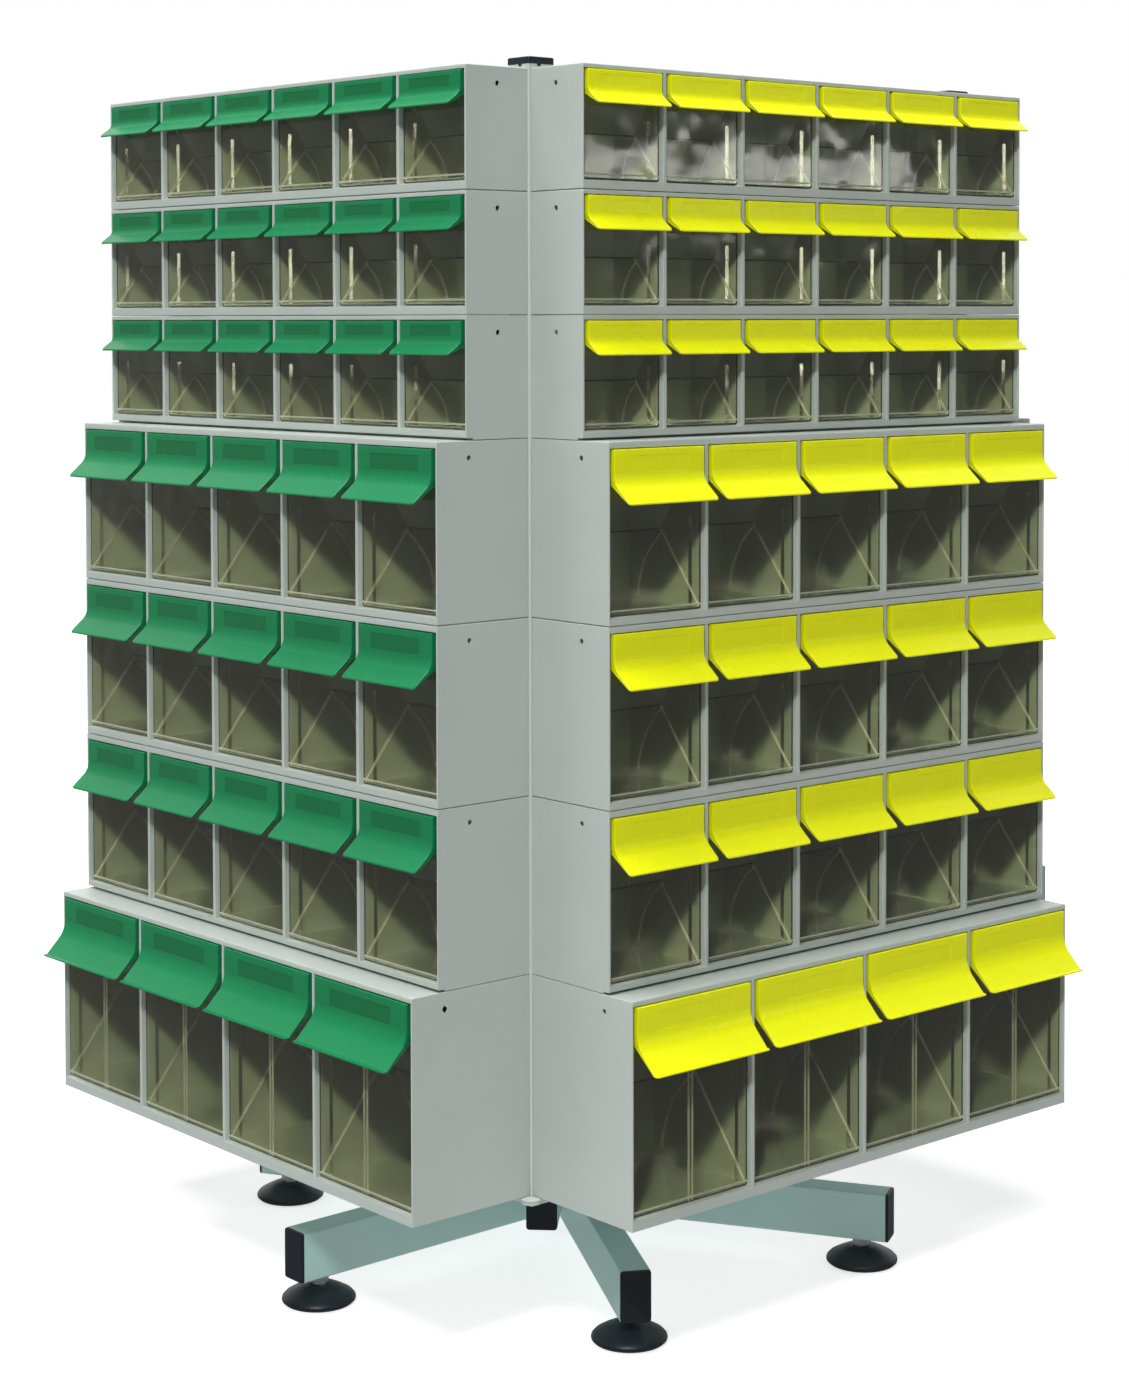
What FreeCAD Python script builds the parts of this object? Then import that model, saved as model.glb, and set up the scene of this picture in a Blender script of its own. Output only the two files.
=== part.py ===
import FreeCAD, Part
import math
import os
from FreeCAD import Placement, Rotation, Vector

# Rotating parts carousel: a four-sided column of tip-out-bin housings that turns on a
# six-legged base. Millimetres, +Z up, origin on the floor on the turning axis.
# Side 0 faces -Y, side 1 faces +X, side 2 faces +Y and side 3 faces -X.

SIDE_NAMES = ("front", "right", "back", "left")
QUARTER_TURN = 90.0

# --- column of housings ------------------------------------------------------------
HOUSING_WIDTH = 600.0
CORNER_GAP = 2.0            # end of a housing to the back plane of its neighbour
HOUSING_BACK_WALL = 2.0
DIVIDER = 4.0               # between two pockets; an end wall is half of it
SMALL_HEIGHT = 112.0
SMALL_DEPTH = 72.0
MEDIUM_HEIGHT = 164.0
MEDIUM_DEPTH = 106.0
LARGE_HEIGHT = 206.0
LARGE_DEPTH = 136.0

# --- bins --------------------------------------------------------------------------
CUP_WALL = 2.0
CUP_SIDE_GAP = 1.2          # to the divider on each side
CUP_TOP_GAP = 2.0           # below the top of the pocket
CUP_RECESS = 3.5            # front of the cup behind the front of the housing
CUP_REAR_GAP = 10.5         # behind the swept rear wall
CUP_MOUTH_ANGLE = 52.7      # rear end of the mouth, seen from the tipping axis
SEAT_GAP = 0.3              # running gap between a bin and the pocket floor

FLAP_PROUD = 2.0            # face of the flap in front of the housing
FLAP_SIDE_GAP = 3.3         # to the divider on each side
FLAP_TOP_GAP = 0.8          # below the top of the pocket
FLAP_WALL = 2.0             # thickness of the flare
FLAP_EDGE = 1.8             # height of the flap's outer edge

# --- base --------------------------------------------------------------------------
LEG_COUNT = 6
FIRST_LEG_ANGLE = 30.0
LEG_RADIUS = 354.0          # turning axis to the end of a leg tube
LEG_WIDTH = 30.0
LEG_HEIGHT = 50.0
LEG_HUB_RADIUS = 62.0       # the tubes run into one another inside this radius
TUBE_WALL = 2.0
CAP_THICKNESS = 3.0
CAP_PLUG = 12.0
CAP_PLUG_GAP = 0.2

FOOT_INSET = 28.0           # end of a leg tube to the centre of its foot
PAD_RADIUS = 37.0
PAD_SOLE_INSET = 4.0
PAD_EDGE_HEIGHT = 4.5       # floor to the widest edge
PAD_SHOULDER_INSET = 3.0
PAD_SHOULDER_HEIGHT = 4.5   # widest edge to the shoulder
PAD_DOME_HEIGHT = 10.0      # shoulder to the top
PAD_TOP_RADIUS = 12.0
PAD_SIDES = 10
SCREW_RADIUS = 5.0
SCREW_SIDES = 6
SCREW_REACH = 20.0          # above the underside of the leg
NUT_ACROSS_FLATS = 17.0
NUT_HEIGHT = 8.7
NUT_SIDES = 6
NUT_GAP = 0.3               # below the leg
INSERT_LENGTH = 18.0        # threaded block welded inside the leg
INSERT_HEIGHT = 10.0
SCREW_CLEARANCE = 0.1

# --- pivot -------------------------------------------------------------------------
PIVOT_RADIUS = 21.2
PIVOT_WALL = 4.0
PIVOT_RISE = 2.0            # top of the spindle above the top housings
PRESS_GAP = 0.05            # around the spindle and the bushes where they are fixed
FLANGE_SIDE = 110.0
FLANGE_THICKNESS = 6.0
THRUST_WIDTH = 22.0         # thrust ring between the base and the turning frame
THRUST_HEIGHT = 14.7
THRUST_SIDES = 16
THRUST_GAP = 0.3
BUSH_WALL = 3.6             # thinnest part of a square bush block
BUSH_CLEARANCE = 0.08
HUB_WALL = 4.0

# --- turning frame -----------------------------------------------------------------
CARRIER_COUNT = 4
CARRIER_RADIUS = 312.0      # turning axis to the end of a carrier tube
CARRIER_WIDTH = 30.0
CARRIER_HEIGHT = 60.0
PLATE_THICKNESS = 3.0
SKIRT_HEIGHT = 7.0
SKIRT_WALL = 2.0
LOBE_RADIUS = 15.0
LOBE_SIDES = 8
POST_SIDE = 30.0
POST_RISE = 4.0             # above the top housings
POST_CAP_THICKNESS = 6.5
POST_CAP_OVERHANG = 0.5
TOP_RAIL_WIDTH = 20.0
TOP_RAIL_HEIGHT = 30.0
TOP_RAIL_DROP = 2.0         # below the top of the housings


class Tier:
    """Sizes of one housing type, its pockets, cups and flaps.

    Every bin stands on the floor of its pocket and tips out about the front edge of its own
    floor. The hem is the flat strip along the outer edge of a flap, where it has one.
    """

    def __init__(self, name, rows, bins, height, depth, rail_bottom, rail_top,
                 arc_flats, flap_drop, flare_drop, flare_reach, hem):
        self.name = name
        self.rows = rows
        self.bins = bins
        self.height = height
        self.depth = depth
        self.rail_bottom = rail_bottom
        self.arc_flats = arc_flats
        self.flap_drop = flap_drop
        self.flare_drop = flare_drop
        self.flare_reach = flare_reach
        self.hem = hem
        self.pitch = HOUSING_WIDTH / bins
        self.pocket_width = self.pitch - DIVIDER
        self.pocket_height = height - rail_bottom - rail_top
        self.cup_width = self.pocket_width - 2 * CUP_SIDE_GAP
        self.cup_height = self.pocket_height - CUP_TOP_GAP - SEAT_GAP
        self.cup_radius = depth - CUP_RECESS - CUP_REAR_GAP - HOUSING_BACK_WALL
        self.flap_width = self.pocket_width - 2 * FLAP_SIDE_GAP


SMALL = Tier("small", rows=3, bins=6, height=SMALL_HEIGHT, depth=SMALL_DEPTH, rail_bottom=8.0,
             rail_top=4.6, arc_flats=2, flap_drop=19.5, flare_drop=10.0, flare_reach=14.0, hem=0.0)
MEDIUM = Tier("medium", rows=3, bins=5, height=MEDIUM_HEIGHT, depth=MEDIUM_DEPTH, rail_bottom=7.0,
              rail_top=6.5, arc_flats=2, flap_drop=30.0, flare_drop=17.0, flare_reach=20.0, hem=0.0)
LARGE = Tier("large", rows=1, bins=4, height=LARGE_HEIGHT, depth=LARGE_DEPTH, rail_bottom=10.0,
             rail_top=5.6, arc_flats=3, flap_drop=33.5, flare_drop=22.0, flare_reach=26.0, hem=4.5)
TIERS = (LARGE, MEDIUM, SMALL)

# --- places that follow from the sizes above -----------------------------------------
COLUMN_HALF = HOUSING_WIDTH / 2 + CORNER_GAP
PAD_HEIGHT = PAD_EDGE_HEIGHT + PAD_SHOULDER_HEIGHT + PAD_DOME_HEIGHT
LEG_BOTTOM = PAD_HEIGHT + NUT_HEIGHT + NUT_GAP
LEG_TOP = LEG_BOTTOM + LEG_HEIGHT
BASE_TOP = LEG_TOP + FLANGE_THICKNESS
TURNING_BOTTOM = BASE_TOP + THRUST_HEIGHT + THRUST_GAP
CARRIER_BOTTOM = TURNING_BOTTOM + FLANGE_THICKNESS
CARRIER_TOP = CARRIER_BOTTOM + CARRIER_HEIGHT
PLATE_BOTTOM = CARRIER_TOP + SKIRT_HEIGHT
STACK_BOTTOM = PLATE_BOTTOM + PLATE_THICKNESS
STACK_TOP = STACK_BOTTOM + sum(tier.rows * tier.height for tier in TIERS)
POST_TOP = STACK_TOP + POST_RISE
TOP_RAIL_BOTTOM = STACK_TOP - TOP_RAIL_DROP - TOP_RAIL_HEIGHT
BUSH_LENGTH = TOP_RAIL_HEIGHT   # flush with the tubes of the top frame
PIVOT_TOP = STACK_TOP + PIVOT_RISE
BUSH_BORE = PIVOT_RADIUS + BUSH_CLEARANCE
BUSH_SIDE = 2 * (BUSH_BORE + BUSH_WALL)
HUB_BORE = BUSH_SIDE + 2 * PRESS_GAP
HUB_SIDE = HUB_BORE + 2 * HUB_WALL


# --- shapes --------------------------------------------------------------------------

def centred_box(dx, dy, bottom, dz):
    return Part.makeBox(dx, dy, dz, Vector(-dx / 2, -dy / 2, bottom))


def radial_box(start, end, width, bottom, height):
    """Block along +X between two radii, centred on Y."""
    return Part.makeBox(end - start, width, height, Vector(start, -width / 2, bottom))


def cylinder(radius, bottom, top):
    return Part.makeCylinder(radius, top - bottom, Vector(0, 0, bottom))


def polygon(points):
    return Part.Face(Part.makePolygon(points + points[:1]))


def side_prism(outline, width):
    """Solid across a bin: outline of (depth, height) pairs, centred on X."""
    points = [Vector(-width / 2, depth, height) for depth, height in outline]
    return polygon(points).extrude(Vector(width, 0, 0))


def ring_points(radius, sides, z):
    """Corners of a regular outline around Z."""
    step = 2 * math.pi / sides
    return [Vector(radius * math.cos(i * step), radius * math.sin(i * step), z)
            for i in range(sides)]


def upright_prism(radius, sides, bottom, top):
    return polygon(ring_points(radius, sides, bottom)).extrude(Vector(0, 0, top - bottom))


def faceted_turning(rings, sides):
    """Solid of flat facets around Z through rings of (radius, height)."""
    loops = [ring_points(radius, sides, z) for radius, z in rings]
    faces = [polygon(loops[0]), polygon(loops[-1])]
    for lower, upper in zip(loops, loops[1:]):
        for i in range(sides):
            j = (i + 1) % sides
            faces.append(polygon([lower[i], lower[j], upper[j], upper[i]]))
    solid = Part.Solid(Part.Shell(faces))
    if solid.Volume < 0:
        solid.reverse()
    return solid


def turned(shape, degrees):
    """Copy of a shape turned about the Z axis."""
    copy = shape.copy()
    copy.Placement = Placement(Vector(), Rotation(Vector(0, 0, 1), degrees)).multiply(copy.Placement)
    return copy


def moved(shape, x, y, z):
    copy = shape.copy()
    copy.Placement = Placement(Vector(x, y, z), Rotation()).multiply(copy.Placement)
    return copy


def around(shape, count, first=0.0):
    """Copies of a shape spread evenly around the Z axis."""
    return [turned(shape, first + i * 360.0 / count) for i in range(count)]


def export(name, solids):
    """Write one sub-part: a single solid, or a group of separate solids."""
    shape = solids[0] if len(solids) == 1 else Part.makeCompound(solids)
    shape.exportStep("parts/" + name + ".step")


# --- housings and bins ---------------------------------------------------------------
# Each is built in the frame of one row: X along the row, Y = 0 on the back plane of the
# housing with its front at -depth, and Z = 0 at its underside.

def bin_centre(tier, index):
    return (index + 0.5) * tier.pitch - HOUSING_WIDTH / 2


def housing(tier):
    """Moulded housing with open-fronted pockets."""
    body = Part.makeBox(HOUSING_WIDTH, tier.depth, tier.height, Vector(-HOUSING_WIDTH / 2, -tier.depth, 0))
    pocket = Part.makeBox(tier.pocket_width, tier.depth - HOUSING_BACK_WALL, tier.pocket_height,
                          Vector(-tier.pocket_width / 2, -tier.depth, tier.rail_bottom))
    return body.cut([moved(pocket, bin_centre(tier, i), 0, 0) for i in range(tier.bins)])


def swept_wall(tier, radius):
    """One face of the rear wall around the tipping axis, as flats from the mouth to the floor."""
    turns = [math.radians(CUP_MOUTH_ANGLE * (1 - i / tier.arc_flats)) for i in range(tier.arc_flats + 1)]
    return [(radius * math.cos(turn), radius * math.sin(turn)) for turn in turns]


def cup(tier):
    """Clear cup, open at a mouth that slants from the front down to the swept rear wall."""
    outer_rear = swept_wall(tier, tier.cup_radius)
    inner_rear = swept_wall(tier, tier.cup_radius - CUP_WALL)
    inner_rear[-1] = (inner_rear[-1][0], CUP_WALL)
    outside = [(0.0, 0.0), (0.0, tier.cup_height), inner_rear[0]] + outer_rear
    inside = [(CUP_WALL, CUP_WALL), (CUP_WALL, tier.cup_height)] + inner_rear
    cavity = side_prism(inside, tier.cup_width - 2 * CUP_WALL)
    return side_prism(outside, tier.cup_width).cut(cavity)


def flap(tier):
    """Coloured flap: label block against the cup, then a flare that ends in a thin edge."""
    top = tier.pocket_height - FLAP_TOP_GAP - SEAT_GAP
    face = -CUP_RECESS - FLAP_PROUD
    bend = top - tier.flap_drop
    tip = bend - tier.flare_drop
    edge = tip - FLAP_EDGE
    reach = face - tier.flare_reach
    slope = tier.flare_drop / (tier.flare_reach - tier.hem)
    under = bend - FLAP_WALL * math.hypot(1.0, slope) - face * slope
    outline = [(0.0, top), (face, top), (face, bend), (reach, tip), (reach, edge), (0.0, under)]
    if tier.hem:
        outline.insert(3, (reach + tier.hem, tip))
        outline.insert(6, (reach + tier.hem, edge))
    return side_prism(outline, tier.flap_width)


def bin_solids(tier, index):
    """Cup and flap of one bin, closed, in the frame of its row."""
    front = -tier.depth + CUP_RECESS
    floor = tier.rail_bottom + SEAT_GAP
    return [moved(shape, bin_centre(tier, index), front, floor) for shape in (cup(tier), flap(tier))]


def on_side(shape, side, base):
    """Place a row shape on one side of the column with its underside at a height."""
    return turned(moved(shape, 0, -COLUMN_HALF, base), side * QUARTER_TURN)


def build_tiers():
    base = STACK_BOTTOM
    for tier in TIERS:
        housings = []
        one_housing = housing(tier)
        bins = [bin_solids(tier, index) for index in range(tier.bins)]
        for row in range(tier.rows):
            for side, side_name in enumerate(SIDE_NAMES):
                housings.append(on_side(one_housing, side, base))
                placed = [[on_side(shape, side, base) for shape in solids] for solids in bins]
                if tier is LARGE:
                    for index, solids in enumerate(placed):
                        export("{}_{}_bin_{}".format(side_name, tier.name, index + 1), solids)
                else:
                    export("{}_{}_bins_row_{}".format(side_name, tier.name, tier.rows - row),
                           [shape for solids in placed for shape in solids])
            base += tier.height
        export(tier.name + "_housings", housings)


# --- base and feet -------------------------------------------------------------------

def tube_hollow(start, end, width, bottom, height):
    """Inside of a square-cut tube along +X."""
    return radial_box(start, end, width - 2 * TUBE_WALL, bottom + TUBE_WALL, height - 2 * TUBE_WALL)


def tube_cap(radius, width, bottom, height):
    """Plastic cap on the end of a tube along +X, with its plug inside the tube."""
    plate = radial_box(radius, radius + CAP_THICKNESS, width, bottom, height)
    shrink = TUBE_WALL + CAP_PLUG_GAP
    plug = radial_box(radius - CAP_PLUG, radius, width - 2 * shrink, bottom + shrink, height - 2 * shrink)
    return plate.fuse(plug)


def base_star():
    """Six tubes welded into a star, with threaded blocks for the feet and a top flange."""
    foot_radius = LEG_RADIUS - FOOT_INSET
    arm = radial_box(0, LEG_RADIUS, LEG_WIDTH, LEG_BOTTOM, LEG_HEIGHT)
    hollow = tube_hollow(LEG_HUB_RADIUS, LEG_RADIUS, LEG_WIDTH, LEG_BOTTOM, LEG_HEIGHT)
    thread_top = LEG_BOTTOM + TUBE_WALL + INSERT_HEIGHT
    block = radial_box(foot_radius - INSERT_LENGTH / 2, foot_radius + INSERT_LENGTH / 2,
                       LEG_WIDTH - 2 * TUBE_WALL, LEG_BOTTOM + TUBE_WALL, INSERT_HEIGHT)
    thread_corner = (SCREW_RADIUS + SCREW_CLEARANCE) / math.cos(math.pi / SCREW_SIDES)
    thread = upright_prism(thread_corner, SCREW_SIDES, LEG_BOTTOM, thread_top)
    leg = arm.cut(hollow).fuse(block).cut(moved(thread, foot_radius, 0, 0))
    flange = centred_box(FLANGE_SIDE, FLANGE_SIDE, LEG_TOP, FLANGE_THICKNESS)
    body = flange.fuse(around(leg, LEG_COUNT, FIRST_LEG_ANGLE))
    bore = cylinder(PIVOT_RADIUS + PRESS_GAP, LEG_BOTTOM, BASE_TOP)
    return body.cut(bore).removeSplitter()


def foot():
    """Levelling foot on the Z axis: domed pad, screw and lock nut."""
    shoulder = PAD_EDGE_HEIGHT + PAD_SHOULDER_HEIGHT
    pad = faceted_turning([(PAD_RADIUS - PAD_SOLE_INSET, 0.0), (PAD_RADIUS, PAD_EDGE_HEIGHT),
                           (PAD_RADIUS - PAD_SHOULDER_INSET, shoulder), (PAD_TOP_RADIUS, PAD_HEIGHT)],
                          PAD_SIDES)
    screw = upright_prism(SCREW_RADIUS, SCREW_SIDES, PAD_HEIGHT, LEG_BOTTOM + SCREW_REACH)
    nut_corner = NUT_ACROSS_FLATS / 2 / math.cos(math.pi / NUT_SIDES)
    nut = upright_prism(nut_corner, NUT_SIDES, PAD_HEIGHT, PAD_HEIGHT + NUT_HEIGHT)
    return [pad, screw, nut.cut(screw)]


def build_base():
    export("base_star", [base_star()])
    cap = tube_cap(LEG_RADIUS, LEG_WIDTH, LEG_BOTTOM, LEG_HEIGHT)
    export("leg_end_caps", around(cap, LEG_COUNT, FIRST_LEG_ANGLE))
    tube = cylinder(PIVOT_RADIUS, LEG_BOTTOM, PIVOT_TOP)
    tube = tube.cut(cylinder(PIVOT_RADIUS - PIVOT_WALL, LEG_BOTTOM, PIVOT_TOP))
    thrust_bore = (PIVOT_RADIUS + PRESS_GAP) / math.cos(math.pi / THRUST_SIDES)
    thrust_top = BASE_TOP + THRUST_HEIGHT
    thrust_ring = upright_prism(thrust_bore + THRUST_WIDTH, THRUST_SIDES, BASE_TOP, thrust_top)
    thrust_ring = thrust_ring.cut(upright_prism(thrust_bore, THRUST_SIDES, BASE_TOP, thrust_top))
    export("pivot_spindle", [tube, thrust_ring])
    shapes = [moved(shape, LEG_RADIUS - FOOT_INSET, 0, 0) for shape in foot()]
    for index in range(LEG_COUNT):
        angle = FIRST_LEG_ANGLE + index * 360.0 / LEG_COUNT
        export("levelling_foot_{}".format(index + 1), [turned(shape, angle) for shape in shapes])


# --- turning frame -------------------------------------------------------------------

def on_diagonals(shape):
    return around(shape, CARRIER_COUNT, QUARTER_TURN / 2)


def carrier_cross():
    """Diagonal tubes welded to the square tube of the lower bush, with a bottom flange."""
    hub = centred_box(HUB_SIDE, HUB_SIDE, CARRIER_BOTTOM, CARRIER_HEIGHT)
    flange = centred_box(FLANGE_SIDE, FLANGE_SIDE, TURNING_BOTTOM, FLANGE_THICKNESS)
    arm = radial_box(0, CARRIER_RADIUS, CARRIER_WIDTH, CARRIER_BOTTOM, CARRIER_HEIGHT)
    hollow = tube_hollow(HUB_SIDE / 2, CARRIER_RADIUS, CARRIER_WIDTH, CARRIER_BOTTOM, CARRIER_HEIGHT)
    body = flange.fuse(on_diagonals(arm.cut(hollow)) + [turned(hub, QUARTER_TURN / 2)])
    bore = centred_box(HUB_BORE, HUB_BORE, TURNING_BOTTOM, CARRIER_TOP - TURNING_BOTTOM)
    return body.cut(turned(bore, QUARTER_TURN / 2)).removeSplitter()


def platform():
    """Flanged plate under the housings, with round lobes at its corners."""
    side = 2 * COLUMN_HALF
    plate = centred_box(side, side, PLATE_BOTTOM, PLATE_THICKNESS)
    lobe = upright_prism(LOBE_RADIUS, LOBE_SIDES, PLATE_BOTTOM, STACK_BOTTOM)
    lobes = around(moved(lobe, COLUMN_HALF, COLUMN_HALF, 0), CARRIER_COUNT)
    skirt = centred_box(side, side, CARRIER_TOP, SKIRT_HEIGHT)
    inner = side - 2 * SKIRT_WALL
    skirt = skirt.cut(centred_box(inner, inner, CARRIER_TOP, SKIRT_HEIGHT))
    spacer = radial_box(HUB_SIDE / 2, CARRIER_RADIUS, CARRIER_WIDTH, CARRIER_TOP, SKIRT_HEIGHT)
    body = plate.fuse(lobes + [skirt] + on_diagonals(spacer))
    hole = turned(centred_box(HUB_BORE, HUB_BORE, PLATE_BOTTOM, PLATE_THICKNESS), QUARTER_TURN / 2)
    return body.cut(hole).removeSplitter()


def corner_post():
    """Square tube in the -X -Y corner of the column."""
    inside = POST_SIDE - 2 * TUBE_WALL
    tube = centred_box(POST_SIDE, POST_SIDE, STACK_BOTTOM, POST_TOP - STACK_BOTTOM)
    tube = tube.cut(centred_box(inside, inside, STACK_BOTTOM, POST_TOP - STACK_BOTTOM))
    centre = POST_SIDE / 2 - COLUMN_HALF
    return moved(tube, centre, centre, 0)


def post_cap():
    """Cap on the same post, with a plug inside the tube."""
    side = POST_SIDE + 2 * POST_CAP_OVERHANG
    plug_side = POST_SIDE - 2 * TUBE_WALL - 2 * CAP_PLUG_GAP
    plate = centred_box(side, side, POST_TOP, POST_CAP_THICKNESS)
    cap = plate.fuse(centred_box(plug_side, plug_side, POST_TOP - CAP_PLUG, CAP_PLUG))
    centre = POST_SIDE / 2 - COLUMN_HALF
    return moved(cap, centre, centre, 0)


def top_frame():
    """Welded rails between the tops of the posts, tied to the tube of the upper bush."""
    half_span = COLUMN_HALF - POST_SIDE
    rail = Part.makeBox(2 * half_span, TOP_RAIL_WIDTH, TOP_RAIL_HEIGHT,
                        Vector(-half_span, -COLUMN_HALF, TOP_RAIL_BOTTOM))
    bar = radial_box(0, COLUMN_HALF - TOP_RAIL_WIDTH, TOP_RAIL_WIDTH, TOP_RAIL_BOTTOM, TOP_RAIL_HEIGHT)
    hub = centred_box(HUB_SIDE, HUB_SIDE, TOP_RAIL_BOTTOM, TOP_RAIL_HEIGHT)
    body = hub.fuse(around(rail, CARRIER_COUNT) + around(bar, CARRIER_COUNT))
    return body.cut(centred_box(HUB_BORE, HUB_BORE, TOP_RAIL_BOTTOM, TOP_RAIL_HEIGHT)).removeSplitter()


def bush(bottom):
    """Square bearing block on the spindle."""
    block = centred_box(BUSH_SIDE, BUSH_SIDE, bottom, BUSH_LENGTH)
    return block.cut(cylinder(BUSH_BORE, bottom, bottom + BUSH_LENGTH))


def build_frame():
    export("carrier_cross", [carrier_cross()])
    cap = tube_cap(CARRIER_RADIUS, CARRIER_WIDTH, CARRIER_BOTTOM, CARRIER_HEIGHT)
    export("carrier_end_caps", on_diagonals(cap))
    export("platform", [platform()])
    export("corner_posts", around(corner_post(), CARRIER_COUNT))
    export("post_caps", around(post_cap(), CARRIER_COUNT))
    export("top_frame", [top_frame()])
    export("pivot_bushes", [turned(bush(TURNING_BOTTOM), QUARTER_TURN / 2), bush(TOP_RAIL_BOTTOM)])


os.makedirs("parts", exist_ok=True)
build_base()
build_frame()
build_tiers()
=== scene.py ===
import math

import bmesh
import bpy
from mathutils import Matrix, Vector


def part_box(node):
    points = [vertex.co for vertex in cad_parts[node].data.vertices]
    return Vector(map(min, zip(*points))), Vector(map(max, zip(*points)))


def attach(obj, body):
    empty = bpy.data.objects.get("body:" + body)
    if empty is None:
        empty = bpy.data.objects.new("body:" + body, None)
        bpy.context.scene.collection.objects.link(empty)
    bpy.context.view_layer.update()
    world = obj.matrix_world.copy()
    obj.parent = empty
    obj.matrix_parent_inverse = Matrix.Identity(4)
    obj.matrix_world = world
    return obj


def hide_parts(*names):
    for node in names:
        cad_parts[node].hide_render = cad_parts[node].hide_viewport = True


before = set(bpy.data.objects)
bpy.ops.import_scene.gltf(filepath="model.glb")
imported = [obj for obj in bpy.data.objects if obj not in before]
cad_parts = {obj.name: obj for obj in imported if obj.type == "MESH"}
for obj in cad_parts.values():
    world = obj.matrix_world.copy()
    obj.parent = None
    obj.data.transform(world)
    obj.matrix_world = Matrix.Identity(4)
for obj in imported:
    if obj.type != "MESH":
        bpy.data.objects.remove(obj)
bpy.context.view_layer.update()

# --- welded base star ------------------------------------------------------------------
# Six square-cut rectangular steel tubes welded into a star, with a square flange on top for
# the pivot. The whole weldment is powder coated in a pale blue-grey, so its edges are softly
# rounded and its faces show a fine orange peel.

MM = 0.001
LEG_COUNT = 6
FIRST_LEG_ANGLE = 30.0
LEG_RADIUS = 354 * MM
LEG_WIDTH = 30 * MM
LEG_EDGE = 2.2 * MM
FLANGE_SIDE = 110 * MM
FLANGE_THICKNESS = 6 * MM
FLANGE_CORNER = 8 * MM
PIVOT_RADIUS = 21.2 * MM
PIVOT_SIDES = 48
LEG_BOTTOM, BASE_TOP = (corner.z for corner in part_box("base_star"))
LEG_TOP = BASE_TOP - FLANGE_THICKNESS
COATED_STEEL = "#A5C6C1"
COATED_STEEL_SHADE = "#9CBDB8"
PEEL_SIZE = 1.4 * MM
SHARP_ANGLE = math.radians(50)
SAME = 1e-6


def linear(code):
    """Linear colour of an sRGB hex value."""
    channels = [int(code[i:i + 2], 16) / 255 for i in (1, 3, 5)]
    return [c / 12.92 if c <= 0.04045 else ((c + 0.055) / 1.055) ** 2.4 for c in channels] + [1.0]


def node(tree, kind, sockets=None, **settings):
    """Add a node; a socket, by name or place, takes a value or a link from another socket."""
    made = tree.nodes.new(kind)
    for name, value in settings.items():
        setattr(made, name, value)
    for key, value in (sockets or {}).items():
        if isinstance(value, bpy.types.NodeSocket):
            tree.links.new(value, made.inputs[key])
        else:
            made.inputs[key].default_value = value
    return made


def empty_material(name):
    material = bpy.data.materials.new(name)
    material.use_nodes = True
    material.node_tree.nodes.clear()
    return material


def mottled_finish(name, colour, shade, patch, grain, relief, rough, rough_spread, metal=0.0):
    """Opaque finish: slow drifts between two tones, a surface grain and uneven gloss.

    Moulded grain is finer than a picture shows, so it is drawn coarser, at 0.5 mm or more.
    """
    material = empty_material(name)
    tree = material.node_tree
    place = node(tree, "ShaderNodeTexCoord").outputs["Object"]
    drift = node(tree, "ShaderNodeTexNoise", {"Vector": place, "Scale": 1 / patch, "Detail": 3.0})
    tone = node(tree, "ShaderNodeMix", {0: drift.outputs[0], 6: linear(shade), 7: linear(colour)},
                data_type="RGBA")
    fine = node(tree, "ShaderNodeTexNoise", {"Vector": place, "Scale": 1 / grain, "Detail": 2.0})
    gloss = node(tree, "ShaderNodeMapRange", {0: drift.outputs[0], 3: rough - rough_spread,
                                              4: rough + rough_spread})
    bump = node(tree, "ShaderNodeBump", {"Height": fine.outputs[0], "Distance": relief})
    surface = node(tree, "ShaderNodeBsdfPrincipled",
                   {"Base Color": tone.outputs[2], "Roughness": gloss.outputs[0],
                    "Metallic": metal, "Normal": bump.outputs[0]})
    node(tree, "ShaderNodeOutputMaterial", {"Surface": surface.outputs[0]})
    return material


def block(bm, low, high):
    """Block between two corners."""
    low, high = Vector(low), Vector(high)
    place = Matrix.LocRotScale((low + high) / 2, None, high - low)
    return bmesh.ops.create_cube(bm, size=1.0, matrix=place)["verts"]


def once(items):
    """The items in their order without repeats, so that every run gives the same mesh."""
    return list(dict.fromkeys(items))


def edges_of(verts):
    chosen = set(verts)
    return [e for e in once(e for v in verts for e in v.link_edges) if set(e.verts) <= chosen]


def faces_of(verts):
    chosen = set(verts)
    return [f for f in once(f for v in verts for f in v.link_faces) if set(f.verts) <= chosen]


def along(edges, axis):
    """The edges that run along an axis."""
    return [e for e in edges
            if abs((e.verts[0].co - e.verts[1].co).normalized()[axis]) > 1 - SAME]


def soften(bm, edges, radius, segments=2):
    """Round some edges."""
    return bmesh.ops.bevel(bm, geom=list(edges), offset=radius, segments=segments, profile=0.5,
                           affect="EDGES", material=-1, clamp_overlap=True)


def raised(bm, faces, step):
    """Extrude faces together by a step and return the new vertices."""
    made = bmesh.ops.extrude_face_region(bm, geom=faces)["geom"]
    verts = [g for g in made if isinstance(g, bmesh.types.BMVert)]
    bmesh.ops.translate(bm, vec=step, verts=verts)
    return verts


def across_axis(bm, height):
    """The level face at a height that the Z axis runs through."""
    level = [f for f in bm.faces if all(abs(v.co.z - height) < SAME for v in f.verts)]
    return min(level, key=lambda f: f.calc_center_median().xy.length)


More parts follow.
